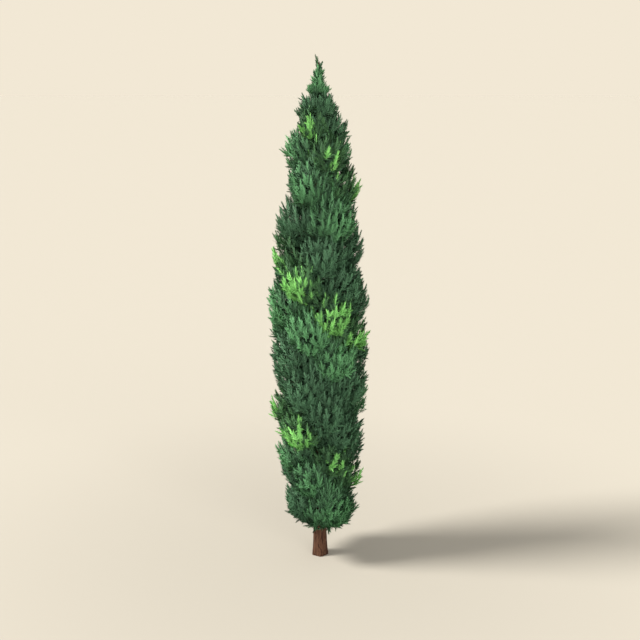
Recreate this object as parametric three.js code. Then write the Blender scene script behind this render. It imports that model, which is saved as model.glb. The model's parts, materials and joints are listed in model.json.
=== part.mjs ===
// Italian cypress, the narrow columnar kind, ten metres tall.
// Millimetres, +Z up. The origin is the middle of the flat cut under the trunk, at ground level.
// The front of the tree faces -Y. A bearing is measured round the trunk from the front towards +X.
import * as THREE from "three";
import { ConvexGeometry } from "three/addons/geometries/ConvexGeometry.js";
import { mergeVertices } from "three/addons/utils/BufferGeometryUtils.js";

const rad = THREE.MathUtils.degToRad;
const mix = THREE.MathUtils.lerp;
const clamp = THREE.MathUtils.clamp;

// ---- Trunk ----------------------------------------------------------------
const TREE_HEIGHT = 10000;
const TRUNK_TOP = 9250; // the wood ends here, inside the base of the leader
const BOLE_RADIUS = 141; // at the ground, before the root flare is added
const TRUNK_TIP_RADIUS = 11;
const TAPER_POWER = 0.9;
const FLARE_RADIUS = 24; // what the root flare adds at the ground
const FLARE_HEIGHT = 190;
const BUTTRESSES = 5;
const BUTTRESS_DEPTH = 0.6; // share of the flare that swells and fades round the trunk
const BUTTRESS_TURN = 0.7;
const TRUNK_LEAN = -25; // sideways, at the top
const TRUNK_SWAY = 9;
const SWAY_WAVES = 1.3; // how often the trunk bends over and back on its way up
const TRUNK_SIDES = 18;
const TRUNK_RINGS = 20;
const RING_CROWDING = 1.8; // above 1, rings crowd together in the root flare

// ---- Crown ----------------------------------------------------------------
const CROWN_FOOT = 765; // lowest leaves
const FOOT_UNEVEN = 80;
const GAP = 1.2; // clear space between neighbouring masses, and round the trunk
const HEART = 0.42; // where a mass has its middle, as a share of the crown's radius there
const SHINGLE = rad(38); // how steeply the joint between an upper and a lower mass climbs outwards
const FACETS_AROUND = 66; // corners on one mass
const UNEVEN = 0.07; // how far a corner strays from the smooth lump
const LUMP_ACROSS = 0.74; // half width of a mass in a tier of four, as a share of the crown's radius
const LUMP_OUT = 0.8; // how far it would bulge past its middle, were it not clipped to the outline
const LUMP_ABOVE = 940; // half height over its middle, where the crown is widest
const LUMP_BELOW = 860;
const LUMP_SQUARE = 2.6; // 2 is a plain egg, more is fuller in the shoulders
const LUMP_IN = 1.2; // how far it would reach back through the trunk, were it not cut there
const SLIM_HEIGHT = 0.6; // how much of its height a mass keeps where the crown is slimmest
const SLOPE_SPAN = 300; // the crown's slope at a mass is read this far above and below its middle
const JOINT_SQUAT = 0.62; // masses are taller than they are wide, so joints between tiers lie flatter
const JOINT_CLEAR = 150; // joints nearer to the middle of the trunk than this stay square
const NEIGHBOUR_REACH = 2600; // masses further apart than this can't touch
const TRUNK_MARGIN = 950; // length of trunk, past both ends of a mass, that it keeps clear of
const FOOT_TILT = 0.1; // how far the underside of the crown tips from level
const OUTLINE_FINENESS = 0.01;
const POLE_CLEAR = 0.93; // no corner but the topmost stands closer to straight up than this

// How far one mass strays from the next: degrees round the trunk, height, and shares of its size.
const BEARING_STRAY = 5;
const HEIGHT_STRAY = 60;
const SWELL_STRAY = 0.03;
const WIDTH_STRAY = 0.05;
const TALLNESS_STRAY = 0.08;

// The crown's outline: height, and radius out to the tips of the masses.
const OUTLINE = [
  [700, 650],
  [1300, 705],
  [1900, 780],
  [2500, 890],
  [3200, 940],
  [4200, 965],
  [4900, 935],
  [5500, 1005],
  [6200, 865],
  [7000, 770],
  [7900, 640],
  [8400, 575],
  [8700, 485],
  [9100, 355],
  [9400, 235],
  [10000, 60],
];

// Tiers of masses from the ground up. Each has a height, the bearing of its first mass, and one letter
// for the shade of each mass, evenly spaced round the trunk: d = old dark leaves, m = middle green,
// f = fresh growth. The turns set each tier's masses over the joints of the tier below.
const TIERS = [
  { height: 1230, turn: 32, shades: "mmd" },
  { height: 1740, turn: -18, shades: "mfdd" },
  { height: 2210, turn: -66, shades: "mfdf" },
  { height: 2710, turn: -42, shades: "fddm" },
  { height: 3190, turn: -74, shades: "fdmd" },
  { height: 3670, turn: -26, shades: "ddfd" },
  { height: 4140, turn: -54, shades: "dmdm" },
  { height: 4660, turn: -22, shades: "mfdm" },
  { height: 5190, turn: -68, shades: "mfdf" },
  { height: 5710, turn: -38, shades: "fdmd" },
  { height: 6270, turn: -74, shades: "fddm" },
  { height: 6860, turn: 33, shades: "mfd" },
  { height: 7520, turn: -28, shades: "mfd" },
  { height: 8200, turn: -98, shades: "mfm" },
  { height: 8780, turn: -32, shades: "fdf" },
  { height: 9100, turn: 28, shades: "ddd" },
];

// The leader is a thin spire that stands on a square foot.
const LEADER = {
  height: 9430,
  foot: 9262,
  radius: 200,
  lean: -24,
  depthShare: 1.3,
  squareAbove: 0.95,
  squareBelow: 4,
  swell: 2,
  corners: 44,
};

const SHADES = {
  d: { slot: "dark_foliage", colour: 0x3a553c, size: 1.14, reach: 0.96 },
  m: { slot: "mid_foliage", colour: 0x4c7950, size: 0.9, reach: 0.995 },
  f: { slot: "fresh_foliage", colour: 0x6a9c55, size: 0.66, reach: 1.02 },
};

const BARK_BROWN = 0x5c4030;
const BARK_ROUGHNESS = 0.92;
const LEAF_ROUGHNESS = 0.85;

const chance = THREE.MathUtils.seededRandom;
chance(1907);
const between = (low, high) => mix(low, high, chance());
const stray = (most) => between(-most, most);

// Radius of the crown at a height, read along the outline.
function crownRadius(z) {
  const above = OUTLINE.findIndex(([height]) => height >= z);
  const upper = OUTLINE[Math.max(above, 1)];
  const lower = OUTLINE[Math.max(above, 1) - 1];
  const share = clamp((z - lower[0]) / (upper[0] - lower[0]), 0, 1);
  return mix(lower[1], upper[1], share);
}

// ---- Trunk shape ------------------------------------------------------------
function trunkMiddle(z) {
  const share = z / TRUNK_TOP;
  const sway = Math.sin(share * Math.PI * 2 * SWAY_WAVES) * TRUNK_SWAY;
  return new THREE.Vector3(TRUNK_LEAN * share * share + sway * share, sway * 0.6 * share, z);
}

function trunkRadius(z, bearing) {
  const left = Math.pow(1 - z / TRUNK_TOP, TAPER_POWER);
  const flare = FLARE_RADIUS * Math.exp(-z / FLARE_HEIGHT);
  const buttress = 1 + BUTTRESS_DEPTH * Math.cos(BUTTRESSES * bearing + BUTTRESS_TURN);
  return mix(TRUNK_TIP_RADIUS, BOLE_RADIUS, left) + flare * buttress;
}

function makeTrunk() {
  const shape = new THREE.CylinderGeometry(1, 1, 1, TRUNK_SIDES, TRUNK_RINGS, false);
  shape.rotateX(Math.PI / 2);
  const at = shape.getAttribute("position");
  const point = new THREE.Vector3();
  for (let i = 0; i < at.count; i++) {
    point.fromBufferAttribute(at, i);
    const share = point.z + 0.5;
    const z = TRUNK_TOP * Math.pow(share, RING_CROWDING);
    const spread = Math.hypot(point.x, point.y);
    const bearing = Math.atan2(point.y, point.x);
    const radius = spread < 0.5 ? 0 : trunkRadius(z, bearing);
    const middle = trunkMiddle(z);
    at.setXYZ(
      i,
      middle.x + radius * Math.cos(bearing),
      middle.y + radius * Math.sin(bearing),
      z,
    );
  }
  return closed(shape, 1e-2);
}

// One closed, indexed surface: corners closer than a tolerance joined, facets left flat.
function closed(shape, tolerance) {
  const bare = new THREE.BufferGeometry();
  bare.setAttribute("position", shape.getAttribute("position"));
  if (shape.index) bare.setIndex(shape.index);
  return mergeVertices(bare, tolerance);
}

// ---- Masses of foliage -----------------------------------------------------
// A faceted ball: directions spread over it by the golden angle, turned at random, joined by flat facets.
function facetedBall(corners) {
  const golden = Math.PI * (3 - Math.sqrt(5));
  const turn = new THREE.Quaternion().setFromEuler(
    new THREE.Euler(between(0, 6), between(0, 6), between(0, 6)),
  );
  const points = [new THREE.Vector3(0, 0, 1)];
  for (let i = 1; i < corners; i++) {
    const height = 1 - (2 * (i + 0.5)) / corners;
    const ring = Math.sqrt(1 - height * height);
    const point = new THREE.Vector3(ring * Math.cos(golden * i), ring * Math.sin(golden * i), height);
    point.applyQuaternion(turn);
    if (point.z < POLE_CLEAR) points.push(point);
  }
  return closed(new ConvexGeometry(points), 1e-5);
}

// Every mass as a plan: its middle, its own three axes and its half sizes along them.
function planMasses() {
  const plans = [];
  TIERS.forEach((tier, row) => {
    const count = tier.shades.length;
    for (let k = 0; k < count; k++) {
      const shade = SHADES[tier.shades[k]];
      const bearing = rad(tier.turn + (360 / count) * k + stray(BEARING_STRAY));
      const z = tier.height + stray(HEIGHT_STRAY);
      const swell = shade.reach * (1 + stray(SWELL_STRAY));
      const radius = crownRadius(z) * swell;
      const slope = (crownRadius(z + SLOPE_SPAN) - crownRadius(z - SLOPE_SPAN)) / (2 * SLOPE_SPAN);
      const out = new THREE.Vector3(Math.sin(bearing), -Math.cos(bearing), 0);
      const up = new THREE.Vector3(0, 0, 1).addScaledVector(out, slope).normalize();
      const side = new THREE.Vector3().crossVectors(up, out).normalize();
      const tall = mix(SLIM_HEIGHT, 1, radius / 1000);
      const width = (radius * LUMP_ACROSS * 4) / count;
      plans.push({
        name: "tier_" + String(row + 1).padStart(2, "0") + "_plume_" + (k + 1),
        shade,
        middle: trunkMiddle(z).addScaledVector(out, radius * HEART),
        out: out.clone().addScaledVector(up, -out.dot(up)).normalize(),
        side,
        up,
        outward: radius * LUMP_OUT,
        inward: radius * LUMP_IN,
        across: width * shade.size * (1 + stray(WIDTH_STRAY)),
        above: LUMP_ABOVE * tall * shade.size * (1 + stray(TALLNESS_STRAY)),
        below: LUMP_BELOW * tall * shade.size * (1 + stray(TALLNESS_STRAY)),
        squareAbove: LUMP_SQUARE,
        squareBelow: LUMP_SQUARE,
        swell,
        corners: FACETS_AROUND,
        size: shade.size,
      });
    }
  });
  plans.push({
    name: "leader",
    shade: SHADES.m,
    middle: new THREE.Vector3(LEADER.lean, 0, LEADER.height),
    out: new THREE.Vector3(0, -1, 0),
    side: new THREE.Vector3(1, 0, 0),
    up: new THREE.Vector3(0, 0, 1),
    outward: LEADER.radius,
    inward: LEADER.radius,
    across: LEADER.radius,
    above: TREE_HEIGHT - LEADER.height,
    below: (LEADER.height - LEADER.foot) * LEADER.depthShare,
    squareAbove: LEADER.squareAbove,
    squareBelow: LEADER.squareBelow,
    swell: LEADER.swell,
    corners: LEADER.corners,
    size: 1,
  });
  return plans;
}

// The flat joint between two masses, which divides the way between their middles by their sizes. Where
// one is above the other it climbs outwards, so that lower masses reach up over the feet of those above.
function jointBetween(a, b) {
  const apart = new THREE.Vector3().subVectors(b.middle, a.middle);
  const share = a.size / (a.size + b.size);
  const foot = new THREE.Vector3().copy(a.middle).addScaledVector(apart, share);
  const normal = apart.clone();
  normal.z *= JOINT_SQUAT;
  const outward = new THREE.Vector3(foot.x, foot.y, 0);
  if (outward.length() > JOINT_CLEAR) {
    outward.normalize();
    normal.addScaledVector(outward, -Math.tan(SHINGLE) * normal.z);
  }
  return { normal: normal.normalize(), foot };
}

// A plane that touches the trunk on the side where the mass grows and follows its taper.
function planeOnTrunk(plan, trunkCorners) {
  const low = plan.middle.z - plan.below - TRUNK_MARGIN;
  const high = plan.middle.z + plan.above + TRUNK_MARGIN;
  const taper = (BOLE_RADIUS - TRUNK_TIP_RADIUS) / TRUNK_TOP;
  const normal = new THREE.Vector3(plan.out.x, plan.out.y, 0).normalize();
  normal.z = taper;
  normal.normalize();
  let furthest = -Infinity;
  for (const corner of trunkCorners) {
    if (corner.z > low && corner.z < high) {
      furthest = Math.max(furthest, corner.dot(normal));
    }
  }
  return { normal: normal.negate(), offset: -(furthest + GAP) };
}

// How far a mass may reach along a direction before it comes out through the crown's outline, found
// by halving the distance between a point inside and a point outside.
function reachToOutline(plan, direction) {
  let inside = 0;
  let outside = NEIGHBOUR_REACH;
  while (outside - inside > OUTLINE_FINENESS) {
    const reach = (inside + outside) / 2;
    const point = plan.middle.clone().addScaledVector(direction, reach);
    const middle = trunkMiddle(clamp(point.z, 0, TRUNK_TOP));
    const spread = Math.hypot(point.x - middle.x, point.y - middle.y);
    if (spread < crownRadius(point.z) * plan.swell) inside = reach;
    else outside = reach;
  }
  return inside;
}

// How far a mass may reach along a direction before it meets a plane (normal . point <= offset).
function reachTo(plane, from, direction) {
  const slope = plane.normal.dot(direction);
  if (slope < 1e-6) return Infinity;
  return (plane.offset - plane.normal.dot(from)) / slope;
}

// One mass: a faceted ball stretched into its lump, and stopped by its neighbours, the trunk and the foot.
function makeMass(plan, plans, trunkCorners) {
  const planes = [];
  for (const other of plans) {
    if (other === plan) continue;
    if (other.middle.distanceTo(plan.middle) > NEIGHBOUR_REACH) continue;
    const first = plans.indexOf(plan) < plans.indexOf(other);
    const joint = first ? jointBetween(plan, other) : jointBetween(other, plan);
    const normal = first ? joint.normal : joint.normal.clone().negate();
    planes.push({ normal, offset: normal.dot(joint.foot) - GAP / 2 });
  }
  if (plan.name === "leader") {
    planes.push({ normal: new THREE.Vector3(0, 0, -1), offset: -LEADER.foot });
  } else {
    planes.push(planeOnTrunk(plan, trunkCorners));
  }
  const foot = CROWN_FOOT + between(0, FOOT_UNEVEN);
  const tilt = new THREE.Vector3(stray(FOOT_TILT), stray(FOOT_TILT), -1).normalize();
  const footPoint = new THREE.Vector3(plan.middle.x, plan.middle.y, foot);
  planes.push({ normal: tilt, offset: tilt.dot(footPoint) });

  const shape = facetedBall(plan.corners);
  const at = shape.getAttribute("position");
  const tip = tipOf(at);
  const direction = new THREE.Vector3();
  for (let i = 0; i < at.count; i++) {
    direction.fromBufferAttribute(at, i).normalize();
    const isTip = i === tip;
    const out = direction.dot(plan.out);
    const up = direction.dot(plan.up);
    const side = direction.dot(plan.side);
    const shares = [
      out / (out > 0 ? plan.outward : plan.inward),
      up / (up > 0 ? plan.above : plan.below),
      side / plan.across,
    ];
    const square = up > 0 ? plan.squareAbove : plan.squareBelow;
    const sum = shares.reduce((total, share) => total + Math.pow(Math.abs(share), square), 0);
    const smooth = Math.min(Math.pow(sum, -1 / square), reachToOutline(plan, direction));
    const rough = isTip ? smooth : smooth * (1 + stray(UNEVEN));
    const free = planes.map((plane) => reachTo(plane, plan.middle, direction));
    const reach = Math.min(rough, ...free);
    at.setXYZ(
      i,
      plan.middle.x + direction.x * reach,
      plan.middle.y + direction.y * reach,
      plan.middle.z + direction.z * reach,
    );
  }
  return shape;
}

// The index of the topmost corner.
function tipOf(at) {
  let best = 0;
  for (let i = 1; i < at.count; i++) {
    if (at.getZ(i) > at.getZ(best)) best = i;
  }
  return best;
}

// ---- The whole tree ---------------------------------------------------------
const group = new THREE.Group();
group.name = "italian_cypress";

function add(name, shape, slot, colour, roughness) {
  const material = new THREE.MeshStandardMaterial({ color: colour, roughness, metalness: 0 });
  material.flatShading = true;
  const mesh = new THREE.Mesh(shape, material);
  mesh.name = name;
  mesh.userData.slot = slot;
  group.add(mesh);
}

const trunkShape = makeTrunk();
add("trunk", trunkShape, "bark", BARK_BROWN, BARK_ROUGHNESS);
const trunkAt = trunkShape.getAttribute("position");
const trunkCorners = [];
for (let i = 0; i < trunkAt.count; i++) {
  trunkCorners.push(new THREE.Vector3().fromBufferAttribute(trunkAt, i));
}

const plans = planMasses();
for (const plan of plans) {
  const shape = makeMass(plan, plans, trunkCorners);
  add(plan.name, shape, plan.shade.slot, plan.shade.colour, LEAF_ROUGHNESS);
}

export default group;
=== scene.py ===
# %% [markdown]
# # An Italian cypress, grown in Blender
#
# The CAD model gives a trunk and a spire of foliage masses, each one a plain faceted solid. Here each
# mass becomes what it stands for on a real tree: a bough that leaves the trunk at a steep angle,
# branches that divide from it, twigs that reach the outside of the mass, and sprays of scale leaves.
# Everything is measured from the CAD nodes, so a change to the solids moves the leaves with them.

# %% Load the frame
import json
import math
import bpy
import numpy as np
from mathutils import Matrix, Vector, noise

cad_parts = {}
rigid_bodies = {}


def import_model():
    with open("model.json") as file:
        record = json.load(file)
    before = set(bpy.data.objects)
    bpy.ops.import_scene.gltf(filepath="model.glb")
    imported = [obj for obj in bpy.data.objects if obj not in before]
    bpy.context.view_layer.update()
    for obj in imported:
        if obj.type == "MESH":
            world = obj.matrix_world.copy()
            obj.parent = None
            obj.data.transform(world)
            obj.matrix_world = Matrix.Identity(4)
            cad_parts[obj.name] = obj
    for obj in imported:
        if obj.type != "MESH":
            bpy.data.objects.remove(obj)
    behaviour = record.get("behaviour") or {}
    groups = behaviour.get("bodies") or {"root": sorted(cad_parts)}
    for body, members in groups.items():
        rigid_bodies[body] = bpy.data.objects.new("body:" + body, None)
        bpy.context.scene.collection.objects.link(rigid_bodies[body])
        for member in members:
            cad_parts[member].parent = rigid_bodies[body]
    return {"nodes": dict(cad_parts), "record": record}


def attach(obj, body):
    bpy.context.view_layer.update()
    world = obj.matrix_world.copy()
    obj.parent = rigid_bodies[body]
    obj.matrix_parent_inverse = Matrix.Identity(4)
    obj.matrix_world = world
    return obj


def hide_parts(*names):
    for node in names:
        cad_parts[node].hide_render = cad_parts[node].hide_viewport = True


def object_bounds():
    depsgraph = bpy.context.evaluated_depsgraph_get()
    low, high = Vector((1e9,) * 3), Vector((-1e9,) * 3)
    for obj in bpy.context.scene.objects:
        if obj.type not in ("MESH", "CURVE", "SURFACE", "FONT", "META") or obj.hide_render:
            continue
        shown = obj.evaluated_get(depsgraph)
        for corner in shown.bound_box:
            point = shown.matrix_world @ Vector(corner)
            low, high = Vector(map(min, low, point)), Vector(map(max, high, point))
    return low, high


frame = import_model()
cad_low, cad_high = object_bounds()
slot_of = {row["node"]: row["material_slot"] for row in frame["record"]["subparts"]}
print("CAD box", [round(x, 3) for x in (*cad_low, *cad_high)], "nodes", len(slot_of))

# %% [markdown]
# ## Measuring the solids
#
# Two facts about the tree come out of the CAD meshes: where the trunk is at each height, and how far
# out each foliage mass reaches. They could be typed in again as numbers, but a number that is measured
# follows the solid when the solid changes, so every place below is worked out from the nodes.

# %% Corners, faces and middles of the CAD nodes
UP = np.array([0.0, 0.0, 1.0])


def corners_of(node):
    mesh = frame["nodes"][node].data
    at = np.empty(len(mesh.vertices) * 3)
    mesh.vertices.foreach_get("co", at)
    return at.reshape(-1, 3)


def faces_of(node):
    mesh = frame["nodes"][node].data
    mesh.calc_loop_triangles()
    faces = np.empty(len(mesh.loop_triangles) * 3, dtype=np.int64)
    mesh.loop_triangles.foreach_get("vertices", faces)
    return corners_of(node)[faces.reshape(-1, 3)]


def unit(vectors):
    length = np.linalg.norm(vectors, axis=-1, keepdims=True)
    return vectors / np.maximum(length, 1e-9)


masses = [node for node in sorted(slot_of) if slot_of[node] != "bark"]
print(len(masses), "foliage masses")

# %% The trunk's middle and radius at each height
trunk_corners = corners_of("trunk")
ring_heights = np.unique(np.round(trunk_corners[:, 2], 3))
rings = [trunk_corners[np.abs(trunk_corners[:, 2] - z) < 2e-3] for z in ring_heights]
ring_middles = np.array([(ring.min(0) + ring.max(0))[:2] / 2 for ring in rings])
ring_radii = np.array([np.ptp(ring[:, :2], axis=0).mean() / 2 for ring in rings])
TRUNK_TOP = float(ring_heights[-1])
apex = corners_of("leader")[corners_of("leader")[:, 2].argmax()]
line_heights = np.append(ring_heights, apex[2])  # the trunk's line runs on to the top of the leader
line_middles = np.vstack([ring_middles, apex[:2]])


def trunk_middle(z):
    x = np.interp(z, line_heights, line_middles[:, 0])
    y = np.interp(z, line_heights, line_middles[:, 1])
    return np.stack([x, y, np.asarray(z, dtype=float)], axis=-1)


def trunk_radius(z):
    return np.interp(z, ring_heights, ring_radii)


def outwards(points):
    """The level direction from the trunk's middle out through each point."""
    away = points - trunk_middle(points[..., 2])
    away[..., 2] = 0.0
    return unit(away)


ground_width = 2 * float(trunk_radius(0.0))
print("trunk", round(TRUNK_TOP, 2), "m tall,", round(ground_width, 3), "m across at the ground")

# %% [markdown]
# ## Where the twigs end
#
# On a real cypress the green is only a coat, a hand or two deep, on the outside of the crown; inside
# it is bare and brown. Tips could be scattered at random, which leaves holes, or set on a grid, which
# shows. So random candidates are spread over the outer side of each mass, none where two masses meet,
# and each new tip is the candidate furthest from the tips already chosen. They come out evenly spaced
# and still look grown.

# %% How far points are from the trunk, and how large sprays are there
SPRAY_AT_TRUNK, SPRAY_PER_METRE = 0.42, 0.85  # spray size on a slim mass, and its growth with the mass
SMALLEST_SPRAY, LARGEST_SPRAY = 0.6, 1.0


def spread_of(points):
    """How far points are from the trunk's middle, measured level."""
    return np.linalg.norm((points - trunk_middle(points[..., 2]))[..., :2], axis=-1)


def spray_size(node):
    """Sprays are smaller where the crown is slim: 1 on a wide mass, 0.6 on the leader."""
    size = SPRAY_AT_TRUNK + SPRAY_PER_METRE * spread_of(corners_of(node)).max()
    return float(np.clip(size, SMALLEST_SPRAY, LARGEST_SPRAY))


# %% Which faces of a mass carry twigs
SIDE_SHARE = 0.25  # what a face gets that looks neither away from the trunk nor towards it
OPEN_GAIN, OPEN_LOSS = 3, 1.2  # no twigs within 0.4 of a mass's reach, and all of them past 0.73 of it


def outer_faces(node):
    """Triangles of a mass with a weight: large where the face looks away from the trunk."""
    faces = faces_of(node)
    cross = np.cross(faces[:, 1] - faces[:, 0], faces[:, 2] - faces[:, 0])
    area = np.linalg.norm(cross, axis=1) / 2
    middle = faces.mean(axis=1)
    facing = np.sum(unit(cross) * outwards(middle), axis=1)
    spread = spread_of(middle)
    open_side = np.clip(spread / spread.max() * OPEN_GAIN - OPEN_LOSS, 0, 1) if node != "leader" else 1.0
    return faces, area * np.clip(SIDE_SHARE + facing, 0, 1) * open_side


# %% Evenly spaced points on those faces
CHANCE = np.random.default_rng(23)
CANDIDATES_PER_TIP = 9


def scattered_on(node, count):
    """Random points on the outer faces of a mass, many more than it needs."""
    faces, weight = outer_faces(node)
    picked = CHANCE.choice(len(faces), size=count * CANDIDATES_PER_TIP, p=weight / weight.sum())
    a, b = CHANCE.random((2, len(picked)))
    flip = a + b > 1
    a = np.where(flip, 1 - a, a)
    b = np.where(flip, 1 - b, b)
    chosen_faces = faces[picked]
    points = chosen_faces[:, 0] * (1 - a - b)[:, None]
    return points + chosen_faces[:, 1] * a[:, None] + chosen_faces[:, 2] * b[:, None]


def spaced_out(points, count):
    """As many of the points as count says, each one the furthest from those before it."""
    gap = np.full(len(points), np.inf)
    order = [int(CHANCE.integers(len(points)))]
    for _ in range(count - 1):
        gap = np.minimum(gap, np.linalg.norm(points - points[order[-1]], axis=1))
        order.append(int(gap.argmax()))
    return points[order]


# %% From the surface in to the twigs' tips
TWIGS_IN_ALL, FEWEST_TWIGS = 2850, 12  # on the whole tree, and on any mass
SHORT_OF, FAR_SHORT_OF = 0.11, 0.22  # how far before the surface a twig ends, because its sprays reach on
SPRAY_LEAN = 0.42  # how much a spray leans out for each part that it climbs
LOWEST_TIP = 0.04  # the least height of a tip over the foot of its mass
CORE_OUT, RIM_IN = 0.045, 0.085  # the middle of a mass stands out and its rim draws in, in metres
RIM_AT = 0.95  # the share of a mass's tips that are nearer to its middle than its rim is
SKIRT_TOP = 1.0  # masses whose foot is below this are the skirt round the bare trunk
SKIRT_DEPTH, SKIRT_PRESS, SKIRT_RISE = 0.55, 0.80, 0.05  # its lowest part is pressed flat and lifted
SKIRT_LUMP = 0.2  # how lumpy the skirt is beside the other masses


def from_core(points):
    """0 in the middle of a mass's outer side, about 1 at its rim."""
    middle = points.mean(axis=0)
    across = np.cross(UP, outwards(middle))
    level = np.abs((points - middle) @ across)
    rise = np.abs((points - middle) @ UP)
    return np.hypot(level / np.quantile(level, RIM_AT), rise / np.quantile(rise, RIM_AT))


def tips_on(node, count):
    surface = spaced_out(scattered_on(node, count), count)
    short = CHANCE.uniform(SHORT_OF, FAR_SHORT_OF, len(surface)) * spray_size(node)
    ends = surface - unit(UP + outwards(surface) * SPRAY_LEAN) * short[:, None]
    low = surface[:, 2].min()
    ends[:, 2] = np.maximum(ends[:, 2], low + LOWEST_TIP)
    if node != "leader":
        lump = SKIRT_LUMP if low < SKIRT_TOP else 1.0
        ends += outwards(ends) * (CORE_OUT - RIM_IN * from_core(surface) ** 2)[:, None] * lump
    if low < SKIRT_TOP:  # the lowest masses are flattened underneath
        lower = ends[:, 2] < low + SKIRT_DEPTH
        ends[lower, 2] = low + SKIRT_RISE + (ends[lower, 2] - low) * SKIRT_PRESS
    return ends


outer_area = {node: outer_faces(node)[1].sum() / spray_size(node) ** 2 for node in masses}
all_area = sum(outer_area.values())
twig_count = {node: round(TWIGS_IN_ALL * outer_area[node] / all_area) for node in masses}
tips = {node: tips_on(node, max(FEWEST_TWIGS, twig_count[node])) for node in masses}
print(sum(len(t) for t in tips.values()), "twig tips on", round(all_area, 1), "square metres of crown")

# %% [markdown]
# ## Boughs, branches and twigs
#
# The columnar cypress owes its shape to one habit: every limb turns up. A bough leaves the trunk well
# below its mass, climbs out at about forty degrees and then bends until it is nearly upright. Limbs
# could be grown from the trunk outwards, but then their tips end where they please. So the tips come
# first and the wood is fitted to them, all along one kind of curve: a branch from the bough to each
# group of tips, and a twig from the branch to each tip.

# %% A curve that climbs out and turns up
BEND_REACH = 0.36  # how far each end's direction is kept, as a share of the distance
GROUPING_ROUNDS = 8


def turned_up(start, end, leaving, arriving, points):
    """Points from start to end, leaving along one direction and arriving along another."""
    reach = np.linalg.norm(end - start)
    first = start + leaving * reach * BEND_REACH
    second = end - arriving * reach * BEND_REACH
    t = np.linspace(0, 1, points)[:, None]
    s = 1 - t
    return s**3 * start + 3 * s * s * t * first + 3 * s * t * t * second + t**3 * end


def along(path, share):
    """The point at a share of the way along a path, and the direction there."""
    place = share * (len(path) - 1)
    low = min(int(place), len(path) - 2)
    point = path[low] + (path[low + 1] - path[low]) * (place - low)
    return point, unit(path[low + 1] - path[low])


def in_groups(points, count):
    """Which of count groups each point belongs to, by a few rounds of moving the groups' middles."""
    middles = points[CHANCE.choice(len(points), size=count, replace=False)]
    for _ in range(GROUPING_ROUNDS):
        nearest = np.linalg.norm(points[:, None] - middles[None], axis=2).argmin(axis=1)
        for k in range(count):
            if (nearest == k).any():
                middles[k] = points[nearest == k].mean(axis=0)
    return nearest, middles


# %% The bough of a mass
BOUGH_POINTS = 14
BARE_FOOT, BARE_TOP = 0.74, 0.12  # no bough starts below the one height, or so near the trunk's tip
BOUGH_DROP = 0.25  # how far below its mass a bough starts, for each metre that the mass stands out
START_SHARE = 0.6  # a bough starts inside the trunk, at this share of its radius
BELOW_TOP, BOUGH_SPREAD = 0.16, 0.72  # a bough ends below its mass's top, at this share of its spread
BOUGH_CLIMB, BOUGH_LEAN = 0.8, 0.12  # climb for each part outwards at its start, lean outwards at its end
LEADER_START, LEADER_STOP = 0.2, 0.17  # the leader's shoot, below the trunk's tip and below the apex


def bough_of(node):
    """A path from the trunk, out through the lower part of a mass and up to near its top."""
    if node == "leader":
        foot = trunk_middle(TRUNK_TOP - LEADER_START)
        return turned_up(foot, trunk_middle(apex[2] - LEADER_STOP), UP, UP, BOUGH_POINTS)
    ends = tips[node]
    middle = ends.mean(axis=0)
    out = outwards(middle)
    spread = spread_of(middle)
    leave_at = np.clip(ends[:, 2].min() - BOUGH_DROP * spread, BARE_FOOT, TRUNK_TOP - BARE_TOP)
    base = trunk_middle(leave_at) + out * trunk_radius(leave_at) * START_SHARE
    goal = trunk_middle(ends[:, 2].max() - BELOW_TOP) + out * spread * BOUGH_SPREAD
    return turned_up(base, goal, unit(out + UP * BOUGH_CLIMB), unit(UP + out * BOUGH_LEAN), BOUGH_POINTS)


# %% A branch from the bough to each group of tips
BRANCH_POINTS = 8
BRANCH_DROP, LEAST_DROP = 0.5, 0.16  # how far below its group a branch starts: for each metre, and at least
BRANCHES_FROM, BRANCHES_TO = 0.12, 0.93  # the share of the bough that bears branches
BRANCH_SHORT = 0.25  # a branch stops this share of the way before its group
BRANCH_OUT, BRANCH_LEAN = 0.5, 0.35  # how much it turns outwards at its start and at its end


def branch_to(target, bough, middle):
    drop = np.linalg.norm(target - middle) * BRANCH_DROP + LEAST_DROP
    share = np.interp(target[2] - drop, bough[:, 2], np.linspace(0, 1, BOUGH_POINTS))
    start, heading = along(bough, float(np.clip(share, BRANCHES_FROM, BRANCHES_TO)))
    aim = target + (start - target) * BRANCH_SHORT
    out = outwards(aim)
    leaving = unit(heading + out * BRANCH_OUT)
    return turned_up(start, aim, leaving, unit(UP + out * BRANCH_LEAN), BRANCH_POINTS)


# %% Grow the limbs of every mass
BRANCHES_PER_MASS, FEWEST_ON_BRANCH = 8, 3
TWIG_POINTS = 5
TWIGS_FROM = 0.3  # the first part of a branch bears no twigs
TWIG_SWAY = 0.16  # how far a twig's end strays from its direction
MASS_SHARE, BRANCH_SHARE = 1.4, 0.5  # how much a leaf looks away from its mass's and its branch's middle
UP_SHARE = 0.2  # and how much it looks up


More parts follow.
